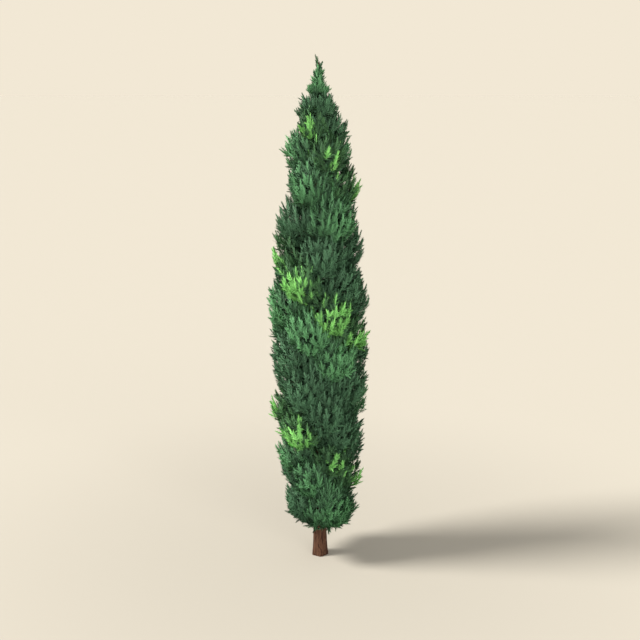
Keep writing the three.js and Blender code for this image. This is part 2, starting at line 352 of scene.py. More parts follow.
def grow(node):
    """Paths of the bough, the branches and the twigs of one mass, and the way each twig's leaves look."""
    ends = tips[node]
    middle = ends.mean(axis=0)
    heart = corners_of(node).mean(axis=0)
    bough = bough_of(node)
    branches = []
    twigs = []
    facing = []
    group, targets = in_groups(ends, min(BRANCHES_PER_MASS, len(ends) // FEWEST_ON_BRANCH))
    for k, target in enumerate(targets):
        branch = branch_to(target, bough, middle)
        branches.append(branch)
        for tip in ends[group == k]:
            start, heading = along(branch, float(CHANCE.uniform(TWIGS_FROM, 1.0)))
            final = unit(UP + outwards(tip) * SPRAY_LEAN + CHANCE.normal(0, TWIG_SWAY, 3))
            twigs.append(turned_up(start, tip, unit(heading + unit(tip - start)), final, TWIG_POINTS))
            plume = unit(tip - heart) * MASS_SHARE + unit(tip - target) * BRANCH_SHARE
            facing.append(unit(outwards(tip) + UP * UP_SHARE + plume))
    return {"bough": bough, "branches": branches, "twigs": np.array(twigs), "facing": np.array(facing)}


limbs = {node: grow(node) for node in masses}
for kind in ("branches", "twigs"):
    print(sum(len(grown[kind]) for grown in limbs.values()), kind)

# %% [markdown]
# ## How fresh and how lit each twig is
#
# Fresh growth sits in the middle of a mass, where it gets the light, and old dark sprays close in
# round it. The darker rim is painted shade between the lumps of the crown as well as old growth, and
# the lighter middle is painted light as well as fresh growth. A painted picture could colour the
# crown, but loose sprays have no skin to wrap it round. So each twig carries a number from 0, at the
# rim of its mass, to 1 in its middle, and the leaf colours are dealt out by it later.

# %% Freshness and painted light, from the painted shade at the rim of a mass to its middle
# at freshness 0 the rim takes painted shade as well as old growth
RIM, FADE = 1.12, 0.34  # where freshness is 0, as a share of a mass's half width, and how fast it fades
# a patch is fresh growth and painted light; round it the rim is painted shade
USUAL_PATCH = 0.85
PATCH_SHARE = {  # plumes with a smaller or larger patch of fresh growth than usual
    "leader": 1.0, "tier_01_plume_1": 0.70,
    "tier_02_plume_1": 0.75, "tier_02_plume_2": 0.70, "tier_03_plume_1": 0.70, "tier_03_plume_2": 0.68,
    "tier_04_plume_1": 0.95, "tier_05_plume_1": 0.60, "tier_07_plume_2": 1.0,
    "tier_08_plume_1": 1.1, "tier_08_plume_2": 0.80, "tier_09_plume_1": 0.90, "tier_09_plume_2": 1.05,
    "tier_10_plume_1": 0.90, "tier_11_plume_1": 0.70, "tier_12_plume_1": 0.72,
    "tier_13_plume_1": 0.69, "tier_13_plume_2": 0.60, "tier_14_plume_1": 0.80, "tier_14_plume_2": 0.71,
    "tier_15_plume_1": 0.76}


def freshness_and_light(node):
    # 1 in a mass's middle, painted light and fresh growth; 0 at its rim, painted shade and old growth
    rim = RIM * PATCH_SHARE.get(node, USUAL_PATCH)
    return np.clip((rim - from_core(limbs[node]["twigs"][:, -1])) / FADE, 0, 1)


twig_fresh_and_lit = {node: freshness_and_light(node) for node in masses}
print("fresh twigs", sum(int((f > 0.5).sum()) for f in twig_fresh_and_lit.values()))

# %% [markdown]
# ## From paths to wood
#
# A limb is a round bar that tapers along a path. Three thousand curve objects with a bevel would do
# it, slowly. Curve to Mesh makes all the bars at once, so the paths go in as chains of edges in one
# mesh, with a thickness written on every point, and one node tree turns them into curves and thickens
# them. Its result is kept as a plain mesh.

# %% Small helpers for building node trees
def plug(tree, node, name, source):
    """Gives a node's input a link, or a plain value."""
    by_number = isinstance(name, int)
    target = node.inputs[name] if by_number else next(s for s in node.inputs if s.name == name and s.enabled)
    if isinstance(source, bpy.types.NodeSocket):
        tree.links.new(source, target)
    else:
        target.default_value = source


def out_of(node, name=None):
    """A node's result: the first one in use, or the one with this name."""
    return next(s for s in node.outputs if s.enabled and name in (None, s.name))


def add_node(tree, kind, inputs=None, **settings):
    node = tree.nodes.new(kind)
    for key, value in settings.items():
        setattr(node, key, value)
    for name, source in (inputs or {}).items():
        plug(tree, node, name, source)
    return node


def geometry_tree(name, inputs):
    """An empty geometry tree with named inputs; returns the tree, its input node and its output node."""
    tree = bpy.data.node_groups.new(name, "GeometryNodeTree")
    for label, kind in inputs:
        tree.interface.new_socket(label, in_out="INPUT", socket_type="NodeSocket" + kind)
    tree.interface.new_socket("Geometry", in_out="OUTPUT", socket_type="NodeSocketGeometry")
    return tree, tree.nodes.new("NodeGroupInput"), tree.nodes.new("NodeGroupOutput")


# %% Paths in, plain mesh out
def chains(name, paths, **marks):
    """A mesh of edges, one chain for each path, with numbers written on its points."""
    corners = np.vstack(paths)
    ends = np.cumsum([len(path) for path in paths])
    first = np.setdiff1d(np.arange(len(corners)), ends - 1)
    mesh = bpy.data.meshes.new(name)
    mesh.from_pydata(corners.tolist(), np.column_stack([first, first + 1]).tolist(), [])
    for mark, values in marks.items():
        values = np.asarray(values, dtype=float)
        kind, field = ("FLOAT", "value") if values.ndim == 1 else ("FLOAT_VECTOR", "vector")
        mesh.attributes.new(mark, kind, "POINT").data.foreach_set(field, values.ravel())
    made = bpy.data.objects.new(name, mesh)
    bpy.context.collection.objects.link(made)
    return made


def tapering(paths, start, end):
    """A thickness for every point of every path."""
    return np.concatenate([np.linspace(start, end, len(path)) for path in paths])


BUILDING_MARKS = ("thickness", "size", "fresh", "facing", "tint")  # numbers that only the trees need


def settle(source, tree, values, name):
    """Runs a geometry tree on an object and keeps the result as a plain mesh object."""
    modifier = source.modifiers.new(tree.name, "NODES")
    modifier.node_group = tree
    for item in tree.interface.items_tree:
        if item.in_out == "INPUT" and item.name in values:
            modifier[item.identifier] = values[item.name]
    bpy.context.view_layer.update()
    ready = source.evaluated_get(bpy.context.evaluated_depsgraph_get())
    mesh = bpy.data.meshes.new_from_object(ready)
    bpy.data.objects.remove(source)
    for mark in BUILDING_MARKS:
        if mark in mesh.attributes:
            mesh.attributes.remove(mesh.attributes[mark])
    mesh.name = name
    piece = bpy.data.objects.new(name, mesh)
    bpy.context.collection.objects.link(piece)
    mesh.calc_loop_triangles()
    print(name, len(mesh.loop_triangles), "triangles")
    return piece


# %% The node tree that thickens paths
wood_tree, given, result = geometry_tree("wood_on_paths", [
    ("Geometry", "Geometry"), ("Sides", "Int"), ("Wood", "Material")])
lines = add_node(wood_tree, "GeometryNodeMeshToCurve", {"Mesh": given.outputs["Geometry"]})
ring = add_node(wood_tree, "GeometryNodeCurvePrimitiveCircle", {
    "Resolution": given.outputs["Sides"], "Radius": 1.0})
thickness = add_node(wood_tree, "GeometryNodeInputNamedAttribute", {"Name": "thickness"}, data_type="FLOAT")
bars = add_node(wood_tree, "GeometryNodeCurveToMesh", {
    "Curve": out_of(lines), "Profile Curve": out_of(ring), "Scale": out_of(thickness), "Fill Caps": True})
smooth = add_node(wood_tree, "GeometryNodeSetShadeSmooth", {"Geometry": out_of(bars)})
real = add_node(wood_tree, "GeometryNodeRealizeInstances", {"Geometry": out_of(smooth)})
painted = add_node(wood_tree, "GeometryNodeSetMaterial", {
    "Geometry": out_of(real), "Material": given.outputs["Wood"]})
plug(wood_tree, result, "Geometry", out_of(painted))

# %% [markdown]
# ## Bark colours
#
# The bark of this tree is thin and brown, split into long shallow strips that run up the trunk. A
# pattern in the shader alone would do from far away, but its colours have to agree with the mesh. So
# the relief is real geometry, and the same relief is written on the mesh, where the shader reads it
# to darken the bottom of each fissure and lighten the strips between. A finer grain from a stretched
# noise does what is too small for the mesh.

# %% Materials for the wood
def plain_material(name, colour, roughness, specular):
    made = bpy.data.materials.new(name)
    made.use_nodes = True
    shader = made.node_tree.nodes["Principled BSDF"]
    shader.inputs["Base Color"].default_value = (*colour, 1.0)
    shader.inputs["Roughness"].default_value = roughness
    shader.inputs["Specular IOR Level"].default_value = specular
    return made


BARK_DEEP = (0.011, 0.005, 0.003)
BARK_MIDDLE = (0.034, 0.0124, 0.0057)
BARK_SHOULDER = (0.074, 0.034, 0.0185)
BARK_STOPS = ((0.42, BARK_DEEP), (0.86, BARK_MIDDLE), (1.0, BARK_SHOULDER))  # colours by height
RELIEF_SHARE = 0.6  # how much the relief counts in that height, beside the grain
GRAIN_PER_METRE = (90, 90, 7)


def bark_material():
    made = plain_material("bark", BARK_MIDDLE, roughness=0.9, specular=0.2)
    tree = made.node_tree
    shader = tree.nodes["Principled BSDF"]
    relief = add_node(tree, "ShaderNodeAttribute", attribute_name="relief")
    place = add_node(tree, "ShaderNodeTexCoord")
    stretch = add_node(tree, "ShaderNodeMapping", {
        "Vector": place.outputs["Object"], "Scale": GRAIN_PER_METRE})
    grain = add_node(tree, "ShaderNodeTexNoise", {
        "Vector": out_of(stretch), "Scale": 1.0, "Detail": 6.0, "Roughness": 0.65})
    part = add_node(tree, "ShaderNodeMath", {
        0: relief.outputs["Fac"], 1: RELIEF_SHARE}, operation="MULTIPLY")
    height = add_node(tree, "ShaderNodeMath", {0: out_of(part), 1: grain.outputs["Fac"]}, operation="ADD")
    ramp = add_node(tree, "ShaderNodeValToRGB", {"Fac": out_of(height)})
    stops = ramp.color_ramp.elements
    stops.new(BARK_STOPS[1][0])
    for stop, (at, colour) in zip(stops, BARK_STOPS):
        stop.position = at
        stop.color = (*colour, 1)
    tree.links.new(ramp.outputs["Color"], shader.inputs["Base Color"])
    bump = add_node(tree, "ShaderNodeBump", {
        "Height": grain.outputs["Fac"], "Strength": 0.6, "Distance": 0.004})
    tree.links.new(out_of(bump), shader.inputs["Normal"])
    return made


bark = bark_material()
young_wood = plain_material("young_wood", (0.085, 0.050, 0.029), roughness=0.85, specular=0.2)
twig_wood = plain_material("twig_wood", (0.060, 0.052, 0.026), roughness=0.8, specular=0.2)
print("wood materials", [wood.name for wood in (bark, young_wood, twig_wood)])

# %% [markdown]
# ## The trunk's relief
#
# The trunk flares into a few buttresses at the ground and tapers to its tip inside the crown. A
# subdivided copy of the solid could be displaced, but it spends as many corners in the crown as below
# it. So this piece is built row by row. It follows the solid's rings with many more sides, its rows
# are close together only on the bare foot that shows, and two sizes of fissure run up it, along the
# zero lines of a noise that is stretched a long way upwards.

# %% How far the trunk's side is from its middle
TRUNK_COLUMNS, BARE_ROWS, INNER_ROWS = 168, 130, 24
BARE_TO = 1.0  # rows are close together up to here
trunk_turns = np.arange(TRUNK_COLUMNS) / TRUNK_COLUMNS * 2 * math.pi


def ring_reach(ring):
    """The reach of one CAD ring in every direction round the trunk."""
    away = ring - (ring.min(0) + ring.max(0)) / 2
    length = np.linalg.norm(away[:, :2], axis=1)
    rim = length > 0.5 * length.max()  # a corner in the middle of a flat end isn't on its rim
    turn = np.arctan2(away[rim, 1], away[rim, 0])
    order = turn.argsort()
    return np.interp(trunk_turns, turn[order], length[rim][order], period=2 * math.pi)


ring_reaches = np.array([ring_reach(ring) for ring in rings])
print(len(rings), "CAD rings, reach at the ground", np.sort(ring_reaches[0])[[0, -1]].round(3))

# %% Fissures in the bark
WIDE_STRIP, FINE_STRIP = (0.031, 0.48), (0.0145, 0.26)  # width round the trunk, length up it
WIDE_DEPTH, FINE_DEPTH = 0.0070, 0.0032
WIDE_OPENING, FINE_OPENING = 0.16, 0.20  # the noise's size where a fissure's side ends
WOBBLE, WOBBLES_PER_METRE = 0.35, 6  # fissures stray sideways by this share of a strip
SLIM_RADIUS = 0.12  # fissures grow shallower where the trunk is slimmer than this
FINE_SHARE = 0.45  # how much of the written relief is the fine fissures'


def fissure(point, strip, opening):
    """0 in the bottom of a fissure, 1 on the strips between fissures."""
    width, length = strip
    wobble = WOBBLE * noise.noise(Vector(point) * WOBBLES_PER_METRE)
    where = Vector((point[0] / width + wobble, point[1] / width + wobble, point[2] / length))
    return min(1.0, abs(noise.noise(where)) / opening)


def barked(edge, side, slim):
    """A point of the trunk's side pressed in by the fissures, and how high its relief is there."""
    wide = fissure(edge, WIDE_STRIP, WIDE_OPENING)
    fine = fissure(edge, FINE_STRIP, FINE_OPENING)
    pressed = edge - side * slim * (WIDE_DEPTH * (1 - wide) + FINE_DEPTH * (1 - fine))
    return pressed, wide * (1 - FINE_SHARE + FINE_SHARE * fine)


# %% Trunk mesh
END_RELIEF = 0.6  # for the middles of the two ends


def trunk_rows(heights):
    """Corners row by row up the trunk, and the relief at each."""
    sides = np.stack([np.cos(trunk_turns), np.sin(trunk_turns), np.zeros(TRUNK_COLUMNS)], axis=1)
    corners = []
    relief = []
    for z in heights:
        reaches = [np.interp(z, ring_heights, ring_reaches[:, k]) for k in range(TRUNK_COLUMNS)]
        slim = min(1.0, float(trunk_radius(z)) / SLIM_RADIUS)
        for side, reach in zip(sides, reaches):
            corner, height = barked(trunk_middle(z) + side * reach, side, slim)
            corners.append(corner)
            relief.append(height)
    return corners, relief


def make_trunk():
    heights = np.concatenate([
        np.linspace(0, BARE_TO, BARE_ROWS, endpoint=False),
        np.linspace(BARE_TO, TRUNK_TOP, INNER_ROWS)])
    corners, relief = trunk_rows(heights)
    index = np.arange(len(corners)).reshape(len(heights), TRUNK_COLUMNS)
    beside = np.roll(index, -1, axis=1)
    faces = np.stack([index[:-1], beside[:-1], beside[1:], index[1:]], axis=-1).reshape(-1, 4).tolist()
    foot = len(corners)
    tip = foot + 1
    faces += [(foot, b, a) for a, b in zip(index[0].tolist(), beside[0].tolist())]
    faces += [(tip, a, b) for a, b in zip(index[-1].tolist(), beside[-1].tolist())]
    corners += [trunk_middle(0.0), trunk_middle(TRUNK_TOP)]
    relief += [END_RELIEF, END_RELIEF]
    mesh = bpy.data.meshes.new("trunk_bark")
    mesh.from_pydata([tuple(corner) for corner in corners], [], faces)
    mesh.attributes.new("relief", "FLOAT", "POINT").data.foreach_set("value", relief)
    mesh.shade_smooth()
    mesh.materials.append(bark)
    return mesh


trunk_bark = bpy.data.objects.new("trunk_bark", make_trunk())
bpy.context.collection.objects.link(trunk_bark)
print("trunk_bark", len(trunk_bark.data.polygons), "faces")

# %% [markdown]
# ## The wood inside the crown
#
# A bough is about as thick as a wrist, a branch as a thumb and a twig as a straw. All three could be
# one mesh, but apart they can have their own number of sides and their own colour: few sides on what
# is thin and mostly hidden, and the trunk's bark, still too young to split, on the boughs.

# %% Boughs, branches and twigs as meshes
BOUGH_RADII, BRANCH_RADII, TWIG_RADII = (0.030, 0.011), (0.010, 0.005), (0.0045, 0.0016)  # foot, tip
SMOOTH_RELIEF = 0.75  # for bark that has no fissures yet


def wood_along(name, paths, radii, sides, wood):
    source = chains(name + "_paths", paths, thickness=tapering(paths, *radii))
    return settle(source, wood_tree, {"Sides": sides, "Wood": wood}, name)


bough_paths = [limbs[node]["bough"] for node in masses]
branch_paths = [path for node in masses for path in limbs[node]["branches"]]
twig_paths = [path for node in masses for path in limbs[node]["twigs"]]
boughs = wood_along("boughs", bough_paths, BOUGH_RADII, 7, bark)
branches = wood_along("branches", branch_paths, BRANCH_RADII, 5, young_wood)
twigs = wood_along("twigs", twig_paths, TWIG_RADII, 3, twig_wood)
smooth_bark = boughs.data.attributes.new("relief", "FLOAT", "POINT")
smooth_bark.data.foreach_set("value", [SMOOTH_RELIEF] * len(boughs.data.vertices))

# %% [markdown]
# ## A spray of scale leaves
#
# A cypress has no needles: tiny scales hug thin cords, and the cords branch into a bushy spray that
# points up. Cards with a see-through picture look flat from the side, and every scale as a mesh would
# be far too much. So one leaf here is a narrow folded blade in the outline of a bunch of cords.
# Blades stand round a thin stem, wide open at its foot and closing to a point at its tip. A few
# different sprays stop the eye from finding one twice, and a second, coarser kind fills the shade.

# %% One blade
BELLY_AT = 0.36  # a blade is widest here along its length
FOLD = 0.33  # how deep its fold is, as a share of its width


def add_blade(corners, faces, foot, heading, across, length, width):
    """One folded leaf: two faces that meet along its middle line."""
    keel = np.cross(heading, across)
    belly = foot + heading * length * BELLY_AT
    side = across * width / 2
    lift = keel * width * FOLD
    n = len(corners)
    corners += [foot, belly - side + lift, foot + heading * length, belly + side + lift]
    faces += [(n, n + 1, n + 2), (n, n + 2, n + 3)]


# %% One spray, one metre long before it is scaled
GOLDEN = math.pi * (3 - math.sqrt(5))  # the turn from one bud to the next on most plants
OPEN_AT_FOOT, OPEN_AT_TIP = math.radians(42), math.radians(9)
OPENING_SWAY, TURN_SWAY = 0.09, 0.25  # how far blades stray from those angles, in radians
BEARING_SHARE = 0.8  # the part of the stem that bears blades
BLADE_STEP = 0.6  # how far into its own step of the stem each blade stands
FOOT_BLADE, TIP_LOSS = 1.1, 0.45  # blade length at the foot of the stem, and what is lost by its tip
SHORT_BLADE, LONG_BLADE = 0.8, 1.2  # and what chance makes of it
MOST_BEND = 0.12  # how far aside the stem's tip bends
STEM_RADIUS = 0.012
STEM_TURNS = (0.0, 2.1, 4.2)  # where the stem's three sides meet


def blade_side(turn):
    return np.array([math.cos(turn), math.sin(turn), 0])


def add_stem(corners, faces, bend):
    """A three-sided point from the spray's foot to its tip."""
    n = len(corners)
    corners += [blade_side(turn) * STEM_RADIUS for turn in STEM_TURNS]
    corners.append(np.array([bend[0], bend[1], 1.0]))
    faces += [(n, n + 1, n + 3), (n + 1, n + 2, n + 3), (n + 2, n, n + 3)]


def make_spray(name, seed, blades, length, width):
    chance = np.random.default_rng(seed)
    bend = chance.uniform(-MOST_BEND, MOST_BEND, 2)
    corners = []
    faces = []
    for k in range(blades):
        t = (k + BLADE_STEP) / blades
        side = blade_side(k * GOLDEN + chance.normal(0, TURN_SWAY))
        opening = OPEN_AT_FOOT + (OPEN_AT_TIP - OPEN_AT_FOOT) * t + chance.normal(0, OPENING_SWAY)
        heading = side * math.sin(opening) + UP * math.cos(opening)
        foot = np.array([bend[0] * t * t, bend[1] * t * t, t * BEARING_SHARE])
        blade = length * (FOOT_BLADE - TIP_LOSS * t) * chance.uniform(SHORT_BLADE, LONG_BLADE)
        add_blade(corners, faces, foot, heading, np.cross(UP, side), blade, width)
    add_stem(corners, faces, bend)
    mesh = bpy.data.meshes.new(name)
    mesh.from_pydata([tuple(c) for c in corners], [], faces)
    return bpy.data.objects.new(name, mesh)


# %% Two shelves of sprays to pick from
SPRAY_KINDS = 6
FIRST_SPRAY_SEED = 40


def shelf_of(name, blades, length, width):
    shelf = bpy.data.collections.new(name)
    bpy.context.scene.collection.children.link(shelf)
    for kind in range(SPRAY_KINDS):
        shelf.objects.link(make_spray(f"{name}_{kind}", FIRST_SPRAY_SEED + kind, blades, length, width))
    return shelf


outer_sprays = shelf_of("outer_spray", blades=22, length=0.42, width=0.078)
inner_sprays = shelf_of("inner_spray", blades=12, length=0.46, width=0.20)

# %% [markdown]
# ## Leaf colours
#
# The crown holds three greens: old growth that is a deep blue-green, ordinary green, and plumes of
# fresh yellow-green. One material could mix them by a noise, but then a single spray would change
# colour half way. So each tint is one plain material, dealt out spray by spray, which shows from any
# distance. The four tints of every set are lit and shaded copies of one green. The first two are
# dark, for sprays deep in the coat and round the rim of a plume: painted shade there, and partly old
# growth. The last two are light, on twig tips and in the middle of a plume: painted light there, and
# partly fresh growth.

# %% Leaf materials
# four copies of one green, from painted shade to painted light; the darker two are partly old growth, the
# lightest partly young growth
LEAF_TINTS = ("shaded", "old", "grown", "young_in_light")
LEAF_COLOURS = {
    "dark_foliage": (
        (0.044, 0.103, 0.051), (0.055, 0.130, 0.065), (0.066, 0.156, 0.078), (0.081, 0.189, 0.094)),
    "mid_foliage": (
        (0.045, 0.110, 0.052), (0.074, 0.190, 0.082), (0.098, 0.258, 0.107), (0.128, 0.330, 0.139)),
    "fresh_foliage": (
        (0.042, 0.104, 0.043), (0.062, 0.155, 0.058), (0.183, 0.462, 0.121), (0.244, 0.590, 0.159))}
leaf_materials = {}
for slot, colours in LEAF_COLOURS.items():
    leaf_materials[slot] = [
        plain_material(f"{slot}_{tint}", colour, roughness=0.65, specular=0.18)
        for tint, colour in zip(LEAF_TINTS, colours)]
print("leaf materials", sum(len(tints) for tints in leaf_materials.values()))

# %% [markdown]
# ## Sprays along the twigs
#
# The sprays sit on the outer part of each twig and turn round it by the golden angle, as buds do. A
# particle system gives little say in where one sits and where it points, so a node tree walks along
# the twigs instead. It heads every spray out from the twig but up, picks one of the spray shapes, and
# tints it by how near the twig's tip it is and how fresh the twig is. Lighter tints near the tips and
# in the middle of a plume are painted light as well as young growth, and darker ones at a twig's foot
# and round a plume's rim are painted shade as well as old growth. A spray that would end too far
# outside the box round the solids is left out.

# %% A node tree with every size as an input
leaf_tree, given, result = geometry_tree("sprays_on_twigs", [
    ("Geometry", "Geometry"), ("Sprays", "Collection"), ("Count", "Int"), ("Seed", "Int"),
    ("Start Share", "Float"), ("Stop Share", "Float"),
    ("Lean At Foot", "Float"), ("Lean At Tip", "Float"), ("Lift", "Float"),
    ("Shortest", "Float"), ("Longest", "Float"), ("Leaf Share", "Float"),
    ("Lowest Corner", "Vector"), ("Highest Corner", "Vector"), ("Slack", "Float"),
    ("Shaded", "Material"), ("Old", "Material"), ("Grown In Light", "Material"), ("Young In Light", "Material")])


def sum_of(operation, first, second=0.0):
    return out_of(add_node(leaf_tree, "ShaderNodeMath", {0: first, 1: second}, operation=operation))


def arrow(operation, first, second=(0.0, 0.0, 0.0)):
    by = 3 if operation == "SCALE" else 1
    return out_of(add_node(leaf_tree, "ShaderNodeVectorMath", {0: first, by: second}, operation=operation))


def chance_between(low, high, step, kind="FLOAT"):
    seed = sum_of("ADD", given.outputs["Seed"], float(step))
    ends = {"Min": low, "Max": high, "Seed": seed}
    return out_of(add_node(leaf_tree, "FunctionNodeRandomValue", ends, data_type=kind))


def written(mark, kind="FLOAT"):
    return out_of(add_node(leaf_tree, "GeometryNodeInputNamedAttribute", {"Name": mark}, data_type=kind))


def is_over(first, second):
    return out_of(add_node(leaf_tree, "FunctionNodeCompare", {
        0: first, 1: second}, operation="GREATER_THAN", data_type="FLOAT"))


# %% Points along the outer part of every twig
lines = add_node(leaf_tree, "GeometryNodeMeshToCurve", {"Mesh": given.outputs["Geometry"]})
keep = add_node(leaf_tree, "GeometryNodeCaptureAttribute", {"Geometry": out_of(lines)})
keep.capture_items.new("FLOAT", "Along")
plug(leaf_tree, keep, "Along", add_node(leaf_tree, "GeometryNodeSplineParameter").outputs["Factor"])
trimmed = add_node(leaf_tree, "GeometryNodeTrimCurve", {
    "Curve": keep.outputs["Geometry"], "Start": given.outputs["Start Share"],
    "End": given.outputs["Stop Share"]}, mode="FACTOR")
walk = add_node(leaf_tree, "GeometryNodeCurveToPoints", {
    "Curve": out_of(trimmed), "Count": given.outputs["Count"]}, mode="COUNT")
how_far = keep.outputs["Along"]

# %% The heading of a spray: out by the golden angle, closing towards the tip, and lifted
SPRAY_TURN_SWAY, SPRAY_LEAN_SWAY = 0.4, 0.15  # how far a spray strays either way, in radians
index = out_of(add_node(leaf_tree, "GeometryNodeInputIndex"))
turn_sway = chance_between(-SPRAY_TURN_SWAY, SPRAY_TURN_SWAY, 1)
turn = sum_of("ADD", sum_of("MULTIPLY", index, GOLDEN), turn_sway)
sideways = add_node(leaf_tree, "ShaderNodeVectorRotate", {
    "Vector": walk.outputs["Normal"], "Axis": walk.outputs["Tangent"], "Angle": turn},
    rotation_type="AXIS_ANGLE")
closing = add_node(leaf_tree, "ShaderNodeMapRange", {
    "Value": how_far, "From Min": given.outputs["Start Share"], "From Max": given.outputs["Stop Share"],
    "To Min": given.outputs["Lean At Foot"], "To Max": given.outputs["Lean At Tip"]})
lean = sum_of("ADD", out_of(closing), chance_between(-SPRAY_LEAN_SWAY, SPRAY_LEAN_SWAY, 2))
forward = arrow("SCALE", walk.outputs["Tangent"], sum_of("COSINE", lean))
outward = arrow("SCALE", out_of(sideways), sum_of("SINE", lean))
lift = out_of(add_node(leaf_tree, "ShaderNodeCombineXYZ", {"Z": given.outputs["Lift"]}))
heading = arrow("ADD", arrow("ADD", forward, outward), lift)

# %% One spray on every point
roll = add_node(leaf_tree, "FunctionNodeAxisAngleToRotation", {
    "Axis": (0.0, 0.0, 1.0), "Angle": chance_between(0.0, 2 * math.pi, 3)})
aimed = add_node(leaf_tree, "FunctionNodeAlignRotationToVector", {
    "Rotation": out_of(roll), "Vector": heading}, axis="Z")
length = chance_between(given.outputs["Shortest"], given.outputs["Longest"], 4)
shelf = add_node(leaf_tree, "GeometryNodeCollectionInfo", {
    "Collection": given.outputs["Sprays"], "Separate Children": True, "Reset Children": True})
scale = sum_of("MULTIPLY", length, written("size"))
spray_tip = arrow("ADD", out_of(add_node(leaf_tree, "GeometryNodeInputPosition")),
                  arrow("SCALE", arrow("NORMALIZE", heading), scale))
inside = arrow("MINIMUM", arrow("MAXIMUM", spray_tip, given.outputs["Lowest Corner"]),
               given.outputs["Highest Corner"])
past = add_node(leaf_tree, "ShaderNodeVectorMath", {0: spray_tip, 1: inside}, operation="DISTANCE")
planted = add_node(leaf_tree, "GeometryNodeInstanceOnPoints", {
    "Points": out_of(walk), "Instance": out_of(shelf), "Pick Instance": True,
    "Selection": is_over(given.outputs["Slack"], past.outputs["Value"]),
    "Instance Index": chance_between(0, SPRAY_KINDS - 1, 5, "INT"),
    "Rotation": out_of(aimed), "Scale": scale})

# %% The tint: lighter towards the twig's tip and on fresh twigs, painted light as well as young growth
# the tip and fresh weights paint light on twig tips and plume middles and shade on twig feet and plume rims
TIP_WEIGHT, FRESH_AND_LIT_WEIGHT, TINT_CHANCE = 0.40, 0.55, 0.25
by_tip = sum_of("MULTIPLY", how_far, TIP_WEIGHT)
by_twig = sum_of("MULTIPLY", written("fresh"), FRESH_AND_LIT_WEIGHT)
tint = sum_of("ADD", sum_of("ADD", by_tip, by_twig), chance_between(-TINT_CHANCE, TINT_CHANCE, 6))
marked = add_node(leaf_tree, "GeometryNodeStoreNamedAttribute", {
    "Geometry": out_of(planted), "Name": "tint", "Value": tint}, data_type="FLOAT", domain="INSTANCE")
real = add_node(leaf_tree, "GeometryNodeRealizeInstances", {"Geometry": out_of(marked)})

# %% Faces and normals that look the way the plume does
facing = written("facing", "FLOAT_VECTOR")
face_normal = add_node(leaf_tree, "GeometryNodeInputNormal").outputs["True Normal"]
agrees = add_node(leaf_tree, "ShaderNodeVectorMath", {0: face_normal, 1: facing}, operation="DOT_PRODUCT")
turned = add_node(leaf_tree, "GeometryNodeFlipFaces", {
    "Mesh": out_of(real), "Selection": is_over(0.0, agrees.outputs["Value"])})
soft = arrow("ADD", facing, arrow("SCALE", face_normal, given.outputs["Leaf Share"]))
softened = add_node(leaf_tree, "GeometryNodeSetMeshNormal", {
    "Mesh": out_of(turned), "Custom Normal": arrow("NORMALIZE", soft)}, mode="FREE", domain="CORNER")

# %% Four materials by bands of the tint
# the two lower bands are painted shade and the two upper ones painted light, beside the leaves' age
TINT_BANDS = {"Shaded": -9.0, "Old": 0.30, "Grown In Light": 0.60, "Young In Light": 0.95}  # each from this tint up
dressed = out_of(softened)
for label, over in TINT_BANDS.items():
    painted = add_node(leaf_tree, "GeometryNodeSetMaterial", {
        "Geometry": dressed, "Selection": is_over(written("tint"), over), "Material": given.outputs[label]})
    dressed = out_of(painted)
plug(leaf_tree, result, "Geometry", dressed)
print(leaf_tree.name, len(leaf_tree.nodes), "nodes,", wood_tree.name, len(wood_tree.nodes), "nodes")

# %% [markdown]
# ## Dressing the crown
#
# The coat of leaves could be one mesh, but that would be heavy to open, and its three greens could not
# be handled apart. So there is one piece for each shade and stretch of height, which stands for the
# masses that it covers. Only the seed and the four tints change from piece to piece.

# %% How the outer sprays sit, and one piece dressed with them
FIRST_SEED, SEED_STEP = 11, 10
EVERYWHERE = {"Leaf Share": 0.5, "Lowest Corner": cad_low, "Highest Corner": cad_high, "Slack": 0.02}
OUTER = {**EVERYWHERE, "Sprays": outer_sprays, "Count": 6, "Start Share": 0.36, "Stop Share": 1.0,
         "Lean At Foot": 0.80, "Lean At Tip": 0.12, "Lift": 0.65, "Shortest": 0.17, "Longest": 0.26}
leaf_pieces = {}


def on_points(paths, values):
    """One number or direction for each path, written on all its points."""
    return np.repeat(values, [len(path) for path in paths], axis=0)


def dress(name, nodes, paths, size, fresh, facing, slot, inputs):
    marks = {"size": size, "fresh": fresh, "facing": facing}
    source = chains(name + "_paths", paths, **{mark: on_points(paths, marks[mark]) for mark in marks})
    tints = dict(zip(TINT_BANDS, leaf_materials[slot]))
    seed = FIRST_SEED + SEED_STEP * len(leaf_pieces)
    piece = settle(source, leaf_tree, {**inputs, **tints, "Seed": seed}, name)
    leaf_pieces[name] = (piece, slot, nodes)


# %% Dress the crown
LEAF_PIECES = {"dark_foliage": 3, "mid_foliage": 2, "fresh_foliage": 1}

for slot, parts in LEAF_PIECES.items():
    mine = sorted((n for n in masses if slot_of[n] == slot), key=lambda n: corners_of(n)[:, 2].mean())
    for k, share in enumerate(np.array_split(np.array(mine), parts)):
        nodes = share.tolist()
        name = slot.replace("foliage", "leaves") + (f"_{k + 1}" if parts > 1 else "")
        paths = [path for node in nodes for path in limbs[node]["twigs"]]
        size = np.repeat([spray_size(node) for node in nodes], [len(tips[node]) for node in nodes])
        fresh = np.concatenate([twig_fresh_and_lit[node] for node in nodes])
        facing = np.concatenate([limbs[node]["facing"] for node in nodes])
        dress(name, nodes, paths, size, fresh, facing, slot, OUTER)

# %% [markdown]
# ## Filling the shade
#
# A real crown is too deep to see through, even where its coat parts. A dark solid inside would stop
# the light too, but it would show as a smooth wall in every gap. So coarse, dark sprays stand along
# the branches and the boughs, where a cypress keeps some of its old leaves. Their dark tints are
# painted shade inside the crown as well as old growth.

